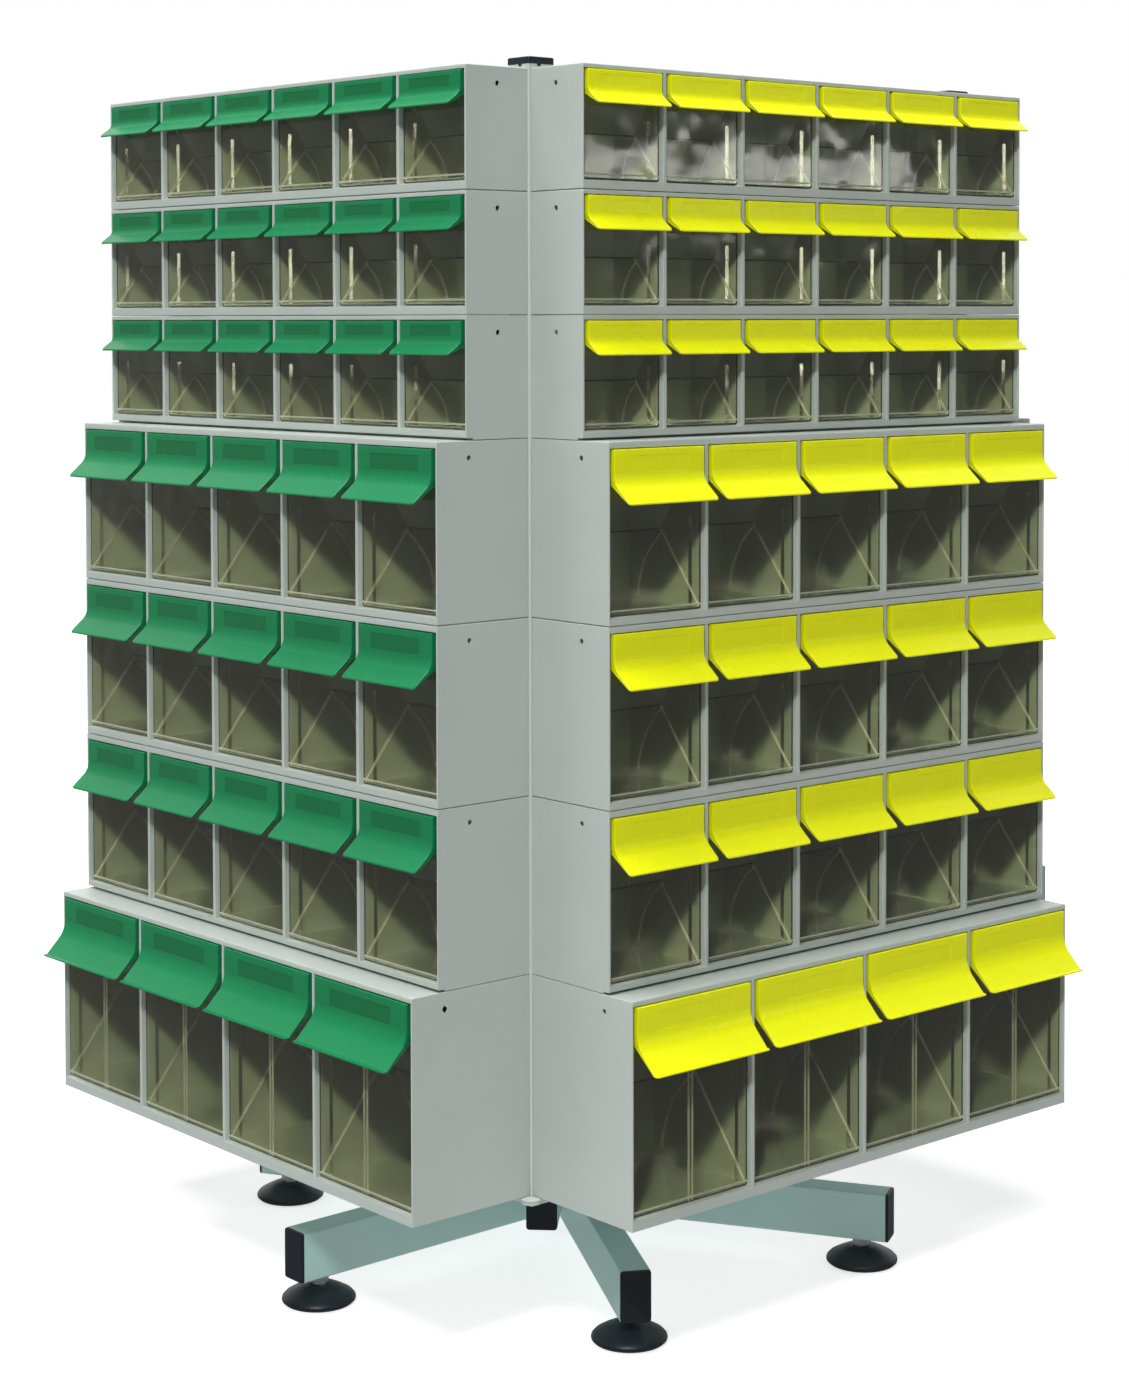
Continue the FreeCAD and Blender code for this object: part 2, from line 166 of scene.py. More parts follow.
def bored(bm, low, high, radius):
    """Open a round bore about Z between two levels."""
    rims = []
    for height in (low, high):
        face = across_axis(bm, height)
        rim = list(face.edges)
        bmesh.ops.delete(bm, geom=[face], context="FACES_ONLY")
        ring = edges_of(bmesh.ops.create_circle(bm, segments=PIVOT_SIDES, radius=radius,
                                                matrix=Matrix.Translation((0, 0, height)))["verts"])
        bmesh.ops.bridge_loops(bm, edges=rim + ring)
        rims += ring
    bmesh.ops.bridge_loops(bm, edges=rims)


def about_axis(degrees):
    return Matrix.Rotation(math.radians(degrees), 4, "Z")


def repeated(template, places, bm=None):
    """Put copies of a mesh at several places into a bmesh, a new one unless one is given."""
    bm = bm or bmesh.new()
    for place in places:
        known = len(bm.verts)
        bm.from_mesh(template)
        bm.verts.ensure_lookup_table()
        bmesh.ops.transform(bm, matrix=place, verts=bm.verts[known:])
    return bm


def mesh_from(bm, name, *materials):
    """Turn a bmesh into a mesh with flat faces and smooth rounded edges."""
    bmesh.ops.recalc_face_normals(bm, faces=bm.faces)
    mesh = bpy.data.meshes.new(name)
    bm.to_mesh(mesh)
    bm.free()
    for material in materials:
        mesh.materials.append(material)
    mesh.shade_smooth()
    mesh.set_sharp_from_angle(angle=SHARP_ANGLE)
    return mesh


def assemble(mesh, body, slot, *nodes):
    """Hang a mesh on its body as a piece that stands for some CAD nodes."""
    piece = bpy.data.objects.new(mesh.name, mesh)
    bpy.context.scene.collection.objects.link(piece)
    even = piece.modifiers.new("even_normals", "WEIGHTED_NORMAL")
    even.keep_sharp = True
    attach(piece, body)
    if nodes:
        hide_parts(*nodes)


coated_steel = mottled_finish("powder_coated_steel", COATED_STEEL, COATED_STEEL_SHADE, patch=0.09,
                              grain=PEEL_SIZE, relief=0.03 * MM, rough=0.42, rough_spread=0.06)

bm = bmesh.new()
hexagon = bmesh.ops.create_circle(bm, cap_ends=True, segments=LEG_COUNT, radius=LEG_WIDTH,
                                  matrix=Matrix.Translation((0, 0, LEG_BOTTOM)))["verts"]
raised(bm, faces_of(hexagon), (0, 0, LEG_TOP - LEG_BOTTOM))
bmesh.ops.recalc_face_normals(bm, faces=bm.faces)
apothem = LEG_WIDTH * math.cos(math.pi / LEG_COUNT)
sides = [f for f in bm.faces if abs(f.normal.z) < 0.5]
outward = [f.normal.copy() for f in sides]
for face, direction in zip(bmesh.ops.extrude_discrete_faces(bm, faces=sides)["faces"], outward):
    bmesh.ops.translate(bm, vec=direction * (LEG_RADIUS - apothem), verts=face.verts)
soften(bm, [e for e in bm.edges if abs(e.calc_length() - LEG_RADIUS + apothem) < SAME], LEG_EDGE, 3)
bored(bm, LEG_BOTTOM, LEG_TOP, PIVOT_RADIUS)
star = mesh_from(bm, "star")
bm = bmesh.new()
half = FLANGE_SIDE / 2
flange = block(bm, (-half, -half, LEG_TOP), (half, half, BASE_TOP))
bored(bm, LEG_TOP, BASE_TOP, PIVOT_RADIUS)
soften(bm, along(edges_of(flange), 2), FLANGE_CORNER, 4)
repeated(star, [about_axis(FIRST_LEG_ANGLE)], bm)
assemble(mesh_from(bm, "base_star_frame", coated_steel), "base", "powder_coated_steel", "base_star")

# --- caps on the leg tubes ---------------------------------------------------------------
# Push-in end caps of black polypropylene with a flat face and a rounded rim. They are
# moulded with a fine matt texture and held by their own ribs inside the tube.

CAP_THICKNESS = 3 * MM
CAP_CORNER = 3 * MM
CAP_RIM = 1.1 * MM
CAP_BLACK = "#141E27"
CAP_BLACK_SHADE = "#101820"

black_plastic = mottled_finish("black_polypropylene", CAP_BLACK, CAP_BLACK_SHADE, patch=0.03,
                               grain=0.9 * MM, relief=0.02 * MM, rough=0.42, rough_spread=0.08)


def tube_cap(radius, width, low, high):
    """Rounded plate on the end of a tube along +X."""
    bm = bmesh.new()
    plate = block(bm, (radius, -width / 2, low), (radius + CAP_THICKNESS, width / 2, high))
    soften(bm, along(edges_of(plate), 0), CAP_CORNER, 4)
    soften(bm, list(max(bm.faces, key=lambda f: f.calc_center_median().x).edges), CAP_RIM, 2)
    return mesh_from(bm, "cap")


leg_angles = [FIRST_LEG_ANGLE + i * 360 / LEG_COUNT for i in range(LEG_COUNT)]
leg_cap = tube_cap(LEG_RADIUS, LEG_WIDTH, LEG_BOTTOM, LEG_TOP)
caps = repeated(leg_cap, [about_axis(angle) for angle in leg_angles])
assemble(mesh_from(caps, "leg_tube_caps", black_plastic), "base", "black_plastic", "leg_end_caps")

# --- levelling feet ------------------------------------------------------------------------
# A domed nylon pad moulded onto a zinc plated M10 screw, with a hexagon lock nut under the
# leg. The screw turns in a threaded block inside the tube. The plating is bright and slightly
# cloudy, and the pad is matt.

FOOT_RADIUS = 326 * MM
PAD_OUTLINE = ((0, 0), (31.5, 0), (34.4, 1.0), (36.6, 3.0), (37, 4.5), (36.6, 6.2), (34, 9),
               (27, 13.0), (20, 16.4), (15, 18.3), (12, 19), (0, 19))
PAD_SIDES = 48
SCREW_RADIUS = 5 * MM
SCREW_PITCH = 1.5 * MM
THREAD_DEPTH = 0.8 * MM
SCREW_TURNS = 19
SCREW_SIDES = 24
NUT_ACROSS_FLATS = 17 * MM
NUT_HEIGHT = 8.7 * MM
NUT_CHAMFER = 0.7 * MM
ZINC = "#E4E7E8"
ZINC_SHADE = "#C9CFD3"

zinc_steel = mottled_finish("zinc_plated_steel", ZINC, ZINC_SHADE, patch=4 * MM, grain=0.5 * MM,
                            relief=0.01 * MM, rough=0.4, rough_spread=0.07, metal=1.0)


def turned_part(points, sides, name):
    """Solid of revolution about Z through points of (radius, height)."""
    bm = bmesh.new()
    verts = [bm.verts.new((radius, 0, height)) for radius, height in points]
    edges = [bm.edges.new(pair) for pair in zip(verts, verts[1:])]
    bmesh.ops.spin(bm, geom=verts + edges, cent=(0, 0, 0), axis=(0, 0, 1), angle=2 * math.pi,
                   steps=sides, use_merge=True)
    bmesh.ops.remove_doubles(bm, verts=bm.verts, dist=SAME)
    return mesh_from(bm, name)


pad_top = PAD_OUTLINE[-1][1] * MM
pad = turned_part([(r * MM, z * MM) for r, z in PAD_OUTLINE], PAD_SIDES, "pad")
screw_top = pad_top + SCREW_TURNS * SCREW_PITCH
core = SCREW_RADIUS - THREAD_DEPTH
thread = [(0, pad_top)]
for turn in range(SCREW_TURNS):
    root = pad_top + turn * SCREW_PITCH
    thread += [(core, root), (SCREW_RADIUS, root + SCREW_PITCH / 2)]
thread += [(core, screw_top), (0, screw_top)]
screw = turned_part(thread, SCREW_SIDES, "screw")
bm = bmesh.new()
nut_corner = NUT_ACROSS_FLATS / 2 / math.cos(math.pi / 6)
hexagon = bmesh.ops.create_circle(bm, cap_ends=True, segments=6, radius=nut_corner,
                                  matrix=Matrix.Translation((0, 0, pad_top)))["verts"]
raised(bm, faces_of(hexagon), (0, 0, NUT_HEIGHT))
soften(bm, [e for e in bm.edges if abs(e.verts[0].co.z - e.verts[1].co.z) < SAME], NUT_CHAMFER, 2)
nut = mesh_from(bm, "nut")
for number, angle in enumerate(leg_angles, 1):
    place = about_axis(angle) @ Matrix.Translation((FOOT_RADIUS, 0, 0))
    foot = "levelling_foot_{}".format(number)
    for template, material, slot in ((pad, black_plastic, "black_plastic"),
                                     (screw, zinc_steel, "zinc_steel"),
                                     (nut, zinc_steel, "zinc_steel")):
        name = "foot_{}_{}".format(number, template.name)
        assemble(mesh_from(repeated(template, [place]), name, material), "foot_{}".format(number),
                 slot, foot)

# --- pivot -----------------------------------------------------------------------------------
# A drawn steel tube pressed into the base is the spindle, grey with a soft gloss. A polyamide
# ring around it carries the column, and two square polyamide blocks pressed into the turning
# frame run on it. Uncoloured polyamide is off-white and satin.

PIVOT_WALL = 4 * MM
THRUST_WIDTH = 22 * MM
THRUST_HEIGHT = 14.7 * MM
TURNED_EDGE = 0.8 * MM
BUSH_BORE = 21.28 * MM
BUSH_SIDE = 49.76 * MM
BUSH_LENGTH = 30 * MM
DRAWN_STEEL = "#9B9EA0"
DRAWN_STEEL_SHADE = "#85898C"
POLYAMIDE = "#D8D5C6"
POLYAMIDE_SHADE = "#CBC7B6"

drawn_steel = mottled_finish("drawn_steel", DRAWN_STEEL, DRAWN_STEEL_SHADE, patch=12 * MM,
                             grain=0.6 * MM, relief=0.01 * MM, rough=0.33, rough_spread=0.08, metal=1.0)
polyamide = mottled_finish("natural_polyamide", POLYAMIDE, POLYAMIDE_SHADE, patch=15 * MM,
                           grain=0.8 * MM, relief=0.01 * MM, rough=0.45, rough_spread=0.05)


def sleeve(inner, outer, low, high, name):
    """Ring or tube about Z with broken edges."""
    e = TURNED_EDGE
    outline = [(inner, low + e), (inner + e, low), (outer - e, low), (outer, low + e),
               (outer, high - e), (outer - e, high), (inner + e, high), (inner, high - e),
               (inner, low + e)]
    return turned_part(outline, PIVOT_SIDES, name)


spindle_low, spindle_high = (corner.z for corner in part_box("pivot_spindle"))
tube = sleeve(PIVOT_RADIUS - PIVOT_WALL, PIVOT_RADIUS, spindle_low, spindle_high, "spindle_tube")
tube.materials.append(drawn_steel)
assemble(tube, "base", "plain_steel", "pivot_spindle")
ring = sleeve(PIVOT_RADIUS, PIVOT_RADIUS + THRUST_WIDTH, BASE_TOP, BASE_TOP + THRUST_HEIGHT,
              "thrust_ring")
ring.materials.append(polyamide)
assemble(ring, "base", "bearing_plastic", "pivot_spindle")

bush_low, bush_high = (corner.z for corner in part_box("pivot_bushes"))
bm = bmesh.new()
half = BUSH_SIDE / 2
bush = block(bm, (-half, -half, 0), (half, half, BUSH_LENGTH))
bored(bm, 0, BUSH_LENGTH, BUSH_BORE)
soften(bm, along(edges_of(bush), 2), TURNED_EDGE)
bush = mesh_from(bm, "bush")
bushes = repeated(bush, [about_axis(45) @ Matrix.Translation((0, 0, bush_low)),
                         Matrix.Translation((0, 0, bush_high - BUSH_LENGTH))])
assemble(mesh_from(bushes, "bush_blocks", polyamide), "carousel", "bearing_plastic", "pivot_bushes")

# --- carrier cross -----------------------------------------------------------------------------
# Four rectangular tubes welded to the square tube of the lower bush, one under each corner of
# the column, in the same powder coat as the base. Black caps close the tubes.

CARRIER_RADIUS = 312 * MM
CARRIER_WIDTH = 30 * MM
HUB_WALL = 4 * MM
PRESS_GAP = 0.05 * MM
DIAGONALS = (45, 135, 225, 315)
HUB_BORE = BUSH_SIDE + 2 * PRESS_GAP
HUB_SIDE = HUB_BORE + 2 * HUB_WALL
carrier_low, carrier_high = (corner.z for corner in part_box("carrier_end_caps"))


def square_sleeve(bm, side, hole, low, high):
    """Square plate or tube around Z with a square hole."""
    verts = block(bm, (-side / 2, -side / 2, low), (side / 2, side / 2, high))
    rims = []
    for face in [f for f in faces_of(verts) if abs(f.normal.z) > 0.5]:
        bmesh.ops.inset_region(bm, faces=[face], thickness=(side - hole) / 2)
        rims += list(face.edges)
        bmesh.ops.delete(bm, geom=[face], context="FACES_ONLY")
    bmesh.ops.bridge_loops(bm, edges=rims)
    return verts


bm = bmesh.new()
arm = block(bm, (HUB_SIDE / 2, -CARRIER_WIDTH / 2, carrier_low),
            (CARRIER_RADIUS, CARRIER_WIDTH / 2, carrier_high))
soften(bm, along(edges_of(arm), 0), LEG_EDGE, 3)
arm = mesh_from(bm, "arm")
bm = bmesh.new()
hub = square_sleeve(bm, HUB_SIDE, HUB_BORE, carrier_low, carrier_high)
soften(bm, along(edges_of(hub), 2), LEG_EDGE, 3)
hub = mesh_from(bm, "hub")
bm = bmesh.new()
plate = square_sleeve(bm, FLANGE_SIDE, HUB_BORE, carrier_low - FLANGE_THICKNESS, carrier_low)
soften(bm, along(edges_of(plate), 2), FLANGE_CORNER, 4)
repeated(hub, [about_axis(45)], bm)
repeated(arm, [about_axis(angle) for angle in DIAGONALS], bm)
assemble(mesh_from(bm, "carrier_cross_frame", coated_steel), "carousel", "powder_coated_steel",
         "carrier_cross")
carrier_cap = tube_cap(CARRIER_RADIUS, CARRIER_WIDTH, carrier_low, carrier_high)
caps = repeated(carrier_cap, [about_axis(angle) for angle in DIAGONALS])
assemble(mesh_from(caps, "carrier_tube_caps", black_plastic), "carousel", "black_plastic",
         "carrier_end_caps")

# --- platform ------------------------------------------------------------------------------------
# A sheet steel tray turned down at its edges, coated light grey, on which the lowest housings
# stand. A round pressed lobe at each corner guards the corner between two housings.

PLATE_THICKNESS = 3 * MM
SKIRT_WALL = 2 * MM
TRAY_EDGE = 0.9 * MM
LOBE_RADIUS = 10.5 * MM
LOBE_SIDES = 40
LOBE_INSET = 0.2 * MM
LOBE_HEIGHT = 6 * MM
LOBE_STEP = 1.6 * MM
COLUMN_HALF = 302 * MM
LIGHT_COAT = "#C3CBC6"
LIGHT_COAT_SHADE = "#B9C2BD"
platform_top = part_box("platform")[1].z

light_coat = mottled_finish("light_grey_powder_coat", LIGHT_COAT, LIGHT_COAT_SHADE, patch=0.09,
                            grain=PEEL_SIZE, relief=0.03 * MM, rough=0.42, rough_spread=0.05)

bm = bmesh.new()
half = COLUMN_HALF
tray = block(bm, (-half, -half, carrier_high), (half, half, platform_top))
soften(bm, edges_of(tray), TRAY_EDGE)
underside = min(bm.faces, key=lambda f: f.calc_center_median().z)
bmesh.ops.inset_region(bm, faces=[underside], thickness=SKIRT_WALL - TRAY_EDGE)
middle = platform_top - PLATE_THICKNESS
raised(bm, [underside], (0, 0, middle - carrier_high))
low, high = platform_top - LOBE_HEIGHT, platform_top - LOBE_INSET
inner, outer = LOBE_RADIUS - LOBE_STEP, LOBE_RADIUS - TRAY_EDGE
lobe = turned_part([(0, low), (inner, low), (inner, middle), (outer, middle),
                    (LOBE_RADIUS, middle + TRAY_EDGE), (LOBE_RADIUS, high - TRAY_EDGE),
                    (outer, high), (0, high)], LOBE_SIDES, "lobe")
repeated(lobe, [about_axis(angle) @ Matrix.Translation((COLUMN_HALF * math.sqrt(2), 0, 0))
                for angle in DIAGONALS], bm)
assemble(mesh_from(bm, "platform_tray", light_coat), "carousel", "powder_coated_steel", "platform")

# --- corner posts and top frame --------------------------------------------------------------------
# Square steel tubes behind the corners of the column, each with a push-in cap on top. A welded
# frame of flat-laid tubes ties their tops to the upper bush.

POST_SIDE = 30 * MM
POST_EDGE = 2 * MM
POST_CAP_OVERHANG = 0.5 * MM
POST_CAP_DOME = 1.6 * MM
TAB_START, TAB_END = 10 * MM, 14 * MM
TAB_DROP = 2 * MM
TOP_RAIL_WIDTH = 20 * MM
post_low, post_high = (corner.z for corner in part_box("corner_posts"))
cap_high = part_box("post_caps")[1].z
frame_low, frame_high = (corner.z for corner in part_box("top_frame"))

bm = bmesh.new()
inner, outer = COLUMN_HALF - POST_SIDE, COLUMN_HALF
tube = block(bm, (inner, inner, post_low), (outer, outer, post_high))
soften(bm, along(edges_of(tube), 2), POST_EDGE, 3)
post = mesh_from(bm, "post")
quarters = [about_axis(angle) for angle in (0, 90, 180, 270)]
assemble(mesh_from(repeated(post, quarters), "post_tubes", light_coat), "carousel",
         "powder_coated_steel", "corner_posts")

bm = bmesh.new()
rim = POST_CAP_OVERHANG
cap = block(bm, (inner - rim, inner - rim, post_high), (outer + rim, outer + rim, cap_high))
soften(bm, along(edges_of(cap), 2), POST_EDGE, 3)
top = max(bm.faces, key=lambda f: f.calc_center_median().z)
soften(bm, list(top.edges), POST_CAP_DOME, 3)
for tab in (((outer - TAB_END, outer), (outer - TAB_START, outer + rim)),
            ((outer, outer - TAB_END), (outer + rim, outer - TAB_START))):
    (x0, y0), (x1, y1) = tab
    block(bm, (x0, y0, post_high - TAB_DROP), (x1, y1, post_high))
cap = mesh_from(bm, "cap")
assemble(mesh_from(repeated(cap, quarters), "post_tube_caps", black_plastic), "carousel",
         "black_plastic", "post_caps")

bm = bmesh.new()
reach = COLUMN_HALF - TOP_RAIL_WIDTH
rail = block(bm, (-inner, -outer, frame_low), (inner, -reach, frame_high))
bar = block(bm, (HUB_SIDE / 2, -TOP_RAIL_WIDTH / 2, frame_low), (reach, TOP_RAIL_WIDTH / 2, frame_high))
soften(bm, along(edges_of(rail) + edges_of(bar), 0), POST_EDGE, 3)
quarter = mesh_from(bm, "quarter")
bm = repeated(quarter, quarters)
hub = square_sleeve(bm, HUB_SIDE, HUB_BORE, frame_low, frame_high)
soften(bm, along(edges_of(hub), 2), POST_EDGE, 3)
assemble(mesh_from(bm, "top_tie_frame", light_coat), "carousel", "powder_coated_steel", "top_frame")

# --- housings ------------------------------------------------------------------------------------
# Injection moulded polystyrene housings, 600 mm wide, with a row of open pockets, screwed to
# the posts through their backs. The walls are smooth with a slight ripple and a small round hole
# at each end. Hairline joints part the rows; an undercut foot shades the joint of two tiers.

HOUSING_WIDTH = 600 * MM
HOUSING_BACK_WALL = 2 * MM
DIVIDER = 4 * MM
HOUSING_EDGE = 0.9 * MM
MOUTH_EDGE = 0.7 * MM
HOLE_RADIUS = 2.5 * MM
HOLE_INSET = 37 * MM
HOLE_DROP = 16 * MM
HOLE_SIDES = 16
HOLE_CELL = 4 * MM
SIDES = ("front", "right", "back", "left")
ROW_GAP = 0.5 * MM
FOOT_UNDERCUT = 1.7 * MM
UNDERCUT_DEPTH = 8 * MM
GREY_PLASTIC = "#B7C0BA"
GREY_PLASTIC_SHADE = "#AFB8B2"

grey_plastic = mottled_finish("moulded_polystyrene_grey", GREY_PLASTIC, GREY_PLASTIC_SHADE, patch=0.07,
                              grain=1.1 * MM, relief=0.012 * MM, rough=0.38, rough_spread=0.06)


class Tier:
    """Sizes of one housing type and its bins; those given are in millimetres."""

    def __init__(self, name, rows, bins, rail_bottom, rail_top, flap_drop, flare_drop, flare_reach, hem):
        low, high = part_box(name + "_housings")
        self.name, self.rows, self.bins = name, rows, bins
        self.base = low.z
        self.height = (high.z - low.z) / rows
        self.depth = high.x - COLUMN_HALF
        self.floor = rail_bottom * MM
        self.ceiling = self.height - rail_top * MM
        self.pitch = HOUSING_WIDTH / bins
        self.pocket_width = self.pitch - DIVIDER
        self.flap_drop, self.flare_drop = flap_drop * MM, flare_drop * MM
        self.flare_reach, self.hem = flare_reach * MM, hem * MM

    def bin_centre(self, index):
        return (index + 0.5) * self.pitch - HOUSING_WIDTH / 2

    def place(self, row, side):
        """Where a row stands, counted from the lowest."""
        stand = Matrix.Translation((0, -COLUMN_HALF, self.base + row * self.height))
        return about_axis(90 * side) @ stand

    def rows_and_sides(self):
        return [(row, side) for row in range(self.rows) for side in range(len(SIDES))]


TIERS = (
    Tier("small", rows=3, bins=6, rail_bottom=8.0, rail_top=4.6,
         flap_drop=19.5, flare_drop=10.0, flare_reach=14.0, hem=0.0),
    Tier("medium", rows=3, bins=5, rail_bottom=7.0, rail_top=6.5,
         flap_drop=30.0, flare_drop=17.0, flare_reach=20.0, hem=0.0),
    Tier("large", rows=1, bins=4, rail_bottom=10.0, rail_top=5.6,
         flap_drop=33.5, flare_drop=22.0, flare_reach=26.0, hem=4.5),
)


def in_plane(bm, axis, value):
    """Faces that lie in a plane square to an axis."""
    return [f for f in bm.faces if all(abs(v.co[axis] - value) < SAME for v in f.verts)]


def scored(bm, axis, value, cut_axis, positions):
    """Cut the faces of one plane along straight lines."""
    for position in positions:
        faces = in_plane(bm, axis, value)
        edges, verts = once(e for f in faces for e in f.edges), once(v for f in faces for v in f.verts)
        point, normal = Vector(), Vector()
        point[cut_axis], normal[cut_axis] = position, 1.0
        bmesh.ops.bisect_plane(bm, geom=faces + edges + verts, plane_co=point, plane_no=normal, dist=SAME)


def gap_rim(bm, centre, reach):
    """Open edges close around a gap in a wall square to X."""
    return [e for e in bm.edges if len(e.link_faces) == 1
            and all(abs(v.co.x - centre.x) < SAME and (v.co - centre).length < reach for v in e.verts)]


def side_hole(bm, outer_x, inner_x, y, z):
    """Round hole through an end wall between its outer and inner face."""
    rims = []
    for x in (outer_x, inner_x):
        scored(bm, 0, x, 1, (y - HOLE_CELL, y + HOLE_CELL))
        scored(bm, 0, x, 2, (z - HOLE_CELL, z + HOLE_CELL))
        centre = Vector((x, y, z))
        cell = min(in_plane(bm, 0, x), key=lambda f: (f.calc_center_median() - centre).length)
        rim = list(cell.edges)
        bmesh.ops.delete(bm, geom=[cell], context="FACES_ONLY")
        bmesh.ops.subdivide_edges(bm, edges=rim, cuts=HOLE_SIDES // 4 - 1)
        rim = gap_rim(bm, centre, 2 * HOLE_CELL)
        place = Matrix.Translation(centre) @ Matrix.Rotation(math.pi / 2, 4, "Y")
        ring = edges_of(bmesh.ops.create_circle(bm, segments=HOLE_SIDES, radius=HOLE_RADIUS,
                                                matrix=place)["verts"])
        bmesh.ops.bridge_loops(bm, edges=rim + ring)
        rims += ring
    bmesh.ops.bridge_loops(bm, edges=rims)


def housing(tier, undercut):
    """Housing of a tier; the foot of its front rail is cut back up to a height."""
    half, front, top = HOUSING_WIDTH / 2, -tier.depth, tier.height - ROW_GAP
    outline = [(front, undercut), (front, top), (0, top), (0, 0)]
    if undercut:
        outline += [(front + UNDERCUT_DEPTH, 0), (front + UNDERCUT_DEPTH, undercut)]
    bm = bmesh.new()
    bm.faces.new([bm.verts.new((-half, y, z)) for y, z in outline])
    raised(bm, list(bm.faces), (2 * half, 0, 0))
    bmesh.ops.recalc_face_normals(bm, faces=bm.faces)
    centres = [tier.bin_centre(i) for i in range(tier.bins)]
    scored(bm, 1, front, 0, [x + sign * tier.pocket_width / 2 for x in centres for sign in (-1, 1)])
    scored(bm, 1, front, 2, (tier.floor, tier.ceiling))
    mouths = [f for f in in_plane(bm, 1, front)
              if tier.floor < f.calc_center_median().z < tier.ceiling
              and min(abs(f.calc_center_median().x - x) for x in centres) < SAME]
    pockets = bmesh.ops.extrude_discrete_faces(bm, faces=mouths)["faces"]
    bmesh.ops.translate(bm, vec=(0, tier.depth - HOUSING_BACK_WALL, 0),
                        verts=[v for f in pockets for v in f.verts])
    for sign in (-1, 1):
        side_hole(bm, sign * half, sign * (half - DIVIDER / 2), front + HOLE_INSET,
                  tier.height - HOLE_DROP)
    planes = ((0, -half), (0, half), (1, front), (1, 0), (2, 0), (2, top))

    def shared(edge):
        return sum(all(abs(v.co[axis] - value) < SAME for v in edge.verts) for axis, value in planes)

    outer = [e for e in bm.edges if shared(e) >= 2]
    rim_edges = [e for e in bm.edges if shared(e) == 1
                 and all(abs(v.co.y - front) < SAME for v in e.verts)
                 and any(abs(f.normal.y) < 0.5 for f in e.link_faces)]
    soften(bm, rim_edges, MOUTH_EDGE)
    soften(bm, [e for e in outer if e.is_valid], HOUSING_EDGE)
    return mesh_from(bm, tier.name)


for tier in TIERS:
    shells = bmesh.new()
    for undercut, rows in ((FOOT_UNDERCUT if tier.rows > 1 else 0, (0,)), (0, range(1, tier.rows))):
        places = [tier.place(row, side) for row in rows for side in range(len(SIDES))]
        repeated(housing(tier, undercut), places, shells)
    name = "{}_housing_shells".format(tier.name)
    assemble(mesh_from(shells, name, grey_plastic), "carousel", "grey_plastic", tier.name + "_housings")

# --- clear cups -----------------------------------------------------------------------------------
# Tip-out cups of clear polystyrene, 2 mm thick, slightly warm in tone. The rear wall sweeps
# about the front edge of the floor, which is the tipping axis. Ribs on the side walls and a
# bead along the foot of the front are moulded in.

CUP_WALL = 2 * MM
CUP_SIDE_GAP = 1.2 * MM
CUP_TOP_GAP = 2 * MM
CUP_RECESS = 3.5 * MM
CUP_REAR_GAP = 10.5 * MM
CUP_MOUTH_ANGLE = math.radians(52.7)
CUP_EDGE = 2.4 * MM
CUP_FOLD = math.radians(30)
SEAT_GAP = 0.3 * MM
ARC_STEPS = 8
RIB_GAP = 0.03 * MM
RIB_ROUNDING = 0.7
BEAD_LOW, BEAD_HIGH = 4.6 * MM, 6.2 * MM
BEAD_PROUD = 0.8 * MM
CREASE_START = 4 * MM
CREASE_WIDTH = 2.0 * MM
CREASE_PROUD = 0.9 * MM
ARC_RIB_START = math.radians(5)
ARC_RIB_WIDTH = 1.2 * MM
ARC_RIB_PROUD = 0.8 * MM
RIDGE_SETBACK = 14.5 * MM
RIDGE_RADIUS = 2.2 * MM
RIDGE_SIDES = 4
RIDGE_HEIGHT = 0.58
CENTRE_RIBS = {"large": (-2.25 * MM, 2.25 * MM)}
CENTRE_RIB_WIDTH = 2.0 * MM
CENTRE_RIB_PROUD = 1.2 * MM
CLEAR_TINT = "#E6E7D6"
CLEAR_SHADOW = "#F2F2E9"
POLYSTYRENE_IOR = 1.59
STREAK_WIDTH = 7 * MM
STREAK_STRETCH = 0.12
STREAK_RELIEF = 0.03 * MM
SAG_LENGTH = 38 * MM
SAG_RELIEF = 0.6 * MM


def clear_polystyrene(name, haze_low, haze_high, clear):
    """Warm clear or frosted plastic; its walls sag in slow waves, so mirrored lamps look uneven."""
    material = empty_material(name)
    tree = material.node_tree
    place = node(tree, "ShaderNodeTexCoord").outputs["Object"]
    flow = node(tree, "ShaderNodeMapping", {0: place, 3: (1.0, 1.0, STREAK_STRETCH)})
    streaks = node(tree, "ShaderNodeTexNoise", {"Vector": flow.outputs[0], "Scale": 1 / STREAK_WIDTH,
                                                "Detail": 2.0})
    sag = node(tree, "ShaderNodeTexNoise", {"Vector": place, "Scale": 1 / SAG_LENGTH, "Detail": 1.0})
    waves = node(tree, "ShaderNodeBump", {"Height": sag.outputs[0], "Distance": SAG_RELIEF})
    bump = node(tree, "ShaderNodeBump", {"Height": streaks.outputs[0], "Distance": STREAK_RELIEF,
                                         "Normal": waves.outputs[0]})
    haze = node(tree, "ShaderNodeMapRange", {0: streaks.outputs[0], 3: haze_low, 4: haze_high})
    plastic = node(tree, "ShaderNodeBsdfPrincipled",
                   {"Base Color": linear(CLEAR_TINT), "Roughness": haze.outputs[0],
                    "IOR": POLYSTYRENE_IOR, "Transmission Weight": clear, "Normal": bump.outputs[0]})
    light = node(tree, "ShaderNodeBsdfTransparent", {"Color": linear(CLEAR_SHADOW)})
    path = node(tree, "ShaderNodeLightPath")
    mix = node(tree, "ShaderNodeMixShader", {0: path.outputs["Is Shadow Ray"], 1: plastic.outputs[0],
                                             2: light.outputs[0]})
    node(tree, "ShaderNodeOutputMaterial", {"Surface": mix.outputs[0]})
    return material


cup_plastics = (clear_polystyrene("clear_polystyrene", 0.02, 0.1, 1.0),
                clear_polystyrene("frosted_polystyrene_ribs", 0.3, 0.45, 0.85))


